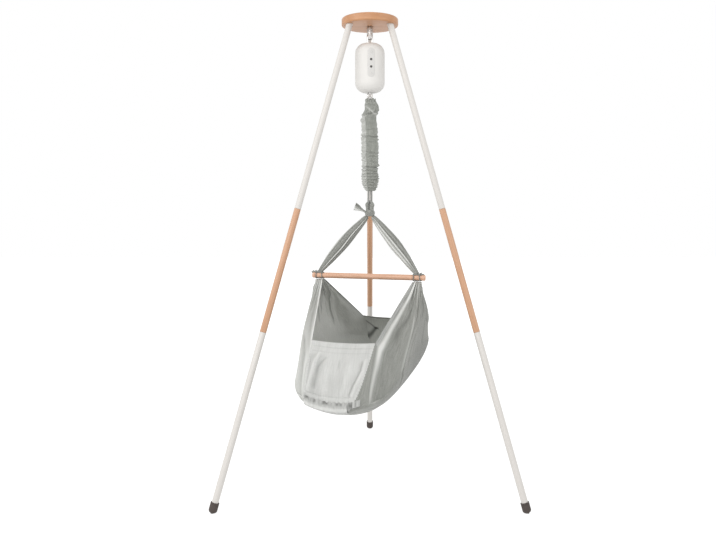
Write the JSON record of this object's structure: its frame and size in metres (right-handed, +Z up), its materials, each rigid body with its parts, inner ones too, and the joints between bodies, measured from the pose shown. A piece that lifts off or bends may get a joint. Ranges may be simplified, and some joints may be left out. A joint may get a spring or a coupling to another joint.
{
  "type": "baby hammock with stand",
  "caption": "Tripod stand with wood and steel legs, a hanging drive unit and spring, and a gathered cloth cradle on a spreader bar.",
  "frame": {"origin": "on the floor, under the middle of the whole object's box; the hub's axis stands 114 mm in front of that point, at Y = -0.1141", "axes": "+Z up along the object's height; +X to the object's right seen from the foot end; +Y to the rear leg"},
  "size_m": [1.2112, 1.1654, 1.932],
  "materials": {
    "white_paint": "satin white powder coat",
    "beech": "satin lacquered beech",
    "steel": "bright steel, lightly brushed",
    "rubber": "matt dark rubber",
    "case_white": "fine matt moulded plastic",
    "dark_plastic": "satin dark plastic",
    "board": "green solder mask",
    "grey_cloth": "plain woven cotton, soft",
    "pale_cloth": "plain woven cotton, pale",
    "grey_cord": "braided cord and webbing"
  },
  "bodies": {
    "stand": {"hub_disc": "beech", "leg_stud_left": "steel", "upper_leg_tube_left": "white_paint", "upper_leg_connector_left": "steel", "wood_section_left": "beech", "lower_leg_connector_left": "steel", "lower_leg_tube_left": "white_paint", "rubber_foot_left": "rubber", "leg_stud_right": "steel", "upper_leg_tube_right": "white_paint", "upper_leg_connector_right": "steel", "wood_section_right": "beech", "lower_leg_connector_right": "steel", "lower_leg_tube_right": "white_paint", "rubber_foot_right": "rubber", "leg_stud_rear": "steel", "upper_leg_tube_rear": "white_paint", "upper_leg_connector_rear": "steel", "wood_section_rear": "beech", "lower_leg_connector_rear": "steel", "lower_leg_tube_rear": "white_paint", "rubber_foot_rear": "rubber", "hanger_bolt": "steel", "hanger_washer": "steel", "hanger_nut": "steel"},
    "swivel": {"swivel_housing": "steel", "swivel_pin": "steel"},
    "link": {"suspension_link": "steel"},
    "motor": {"drive_frame": "steel", "front_shell": "case_white", "back_shell": "case_white", "control_strip": "case_white", "circuit_board": "board", "gear_motor": "steel", "power_socket": "dark_plastic"},
    "reel": {"drive_reel": "dark_plastic"},
    "button_1": {"button_1": "case_white"},
    "button_2": {"button_2": "dark_plastic"},
    "button_3": {"button_3": "dark_plastic"},
    "button_4": {"button_4": "case_white"},
    "hook": {"drive_hook": "steel", "drive_strap": "grey_cord", "spring": "steel", "spring_sleeve": "grey_cloth"},
    "gate": {"hook_gate": "steel"},
    "cord": {"cord_loop": "grey_cord"},
    "cradle": {"fabric_loop": "grey_cloth", "tie_knot": "grey_cloth", "strap_left": "grey_cloth", "strap_right": "grey_cloth", "spreader_bar": "beech", "bar_wrap_left": "grey_cloth", "bar_wrap_right": "grey_cloth", "side_left": "grey_cloth", "side_right": "grey_cloth", "base_cloth": "grey_cloth", "foot_panel": "pale_cloth", "foot_skirt": "pale_cloth", "head_panel": "grey_cloth", "mattress": "grey_cloth"}
  },
  "joints": [
    {"name": "swivel_turn", "type": "hinge", "parent": "stand", "child": "swivel", "pos_m": [0, -0.1141, 1.88], "axis": [0, 0, 1], "continuous": true},
    {"name": "swing_side", "type": "hinge", "parent": "swivel", "child": "link", "pos_m": [0, -0.1141, 1.855], "axis": [-0.0872, 0.9962, 0], "range_deg": [-1.2, 1.2]},
    {"name": "swing_fore", "type": "hinge", "parent": "link", "child": "motor", "pos_m": [0, -0.1141, 1.8137], "axis": [0.9962, 0.0872, 0], "range_deg": [-0.8, 0.8]},
    {"name": "drive_stroke", "type": "slide", "parent": "motor", "child": "hook", "axis": [0, 0, -1], "range_m": [0, 0.016]},
    {"name": "reel_turn", "type": "hinge", "parent": "motor", "child": "reel", "pos_m": [-0.01474, -0.11539, 1.74], "axis": [-0.0872, 0.9962, 0], "range_deg": [-5, 70]},
    {"name": "button_1_press", "type": "slide", "parent": "motor", "child": "button_1", "axis": [-0.0872, 0.9962, 0], "range_m": [0, 0.001], "stiffness_N_per_m": 400, "springref_m": -0.001},
    {"name": "button_2_press", "type": "slide", "parent": "motor", "child": "button_2", "axis": [-0.0872, 0.9962, 0], "range_m": [0, 0.001], "stiffness_N_per_m": 400, "springref_m": -0.001},
    {"name": "button_3_press", "type": "slide", "parent": "motor", "child": "button_3", "axis": [-0.0872, 0.9962, 0], "range_m": [0, 0.001], "stiffness_N_per_m": 400, "springref_m": -0.001},
    {"name": "button_4_press", "type": "slide", "parent": "motor", "child": "button_4", "axis": [-0.0872, 0.9962, 0], "range_m": [0, 0.001], "stiffness_N_per_m": 400, "springref_m": -0.001},
    {"name": "gate_swing", "type": "hinge", "parent": "hook", "child": "gate", "pos_m": [0.00702, -0.11349, 1.61725], "axis": [-0.0872, 0.9962, 0], "range_deg": [0, 20], "stiffness_Nm_per_rad": 0.02, "springref_deg": -17.19},
    {"name": "spring_stretch", "type": "slide", "parent": "hook", "child": "cord", "axis": [0, 0, -1], "range_m": [0, 0.15], "stiffness_N_per_m": 600, "springref_m": -0.13, "deforming": ["spring", "spring_sleeve"]},
    {"name": "cradle_rock", "type": "hinge", "parent": "cord", "child": "cradle", "pos_m": [0, -0.1141, 1.165], "axis": [0.9659, -0.2588, 0], "range_deg": [-0.8, 0.8]}
  ],
  "couplings": [
    {"joint": "reel_turn", "follows": "drive_stroke", "rad_per_m": 67.568}
  ]
}
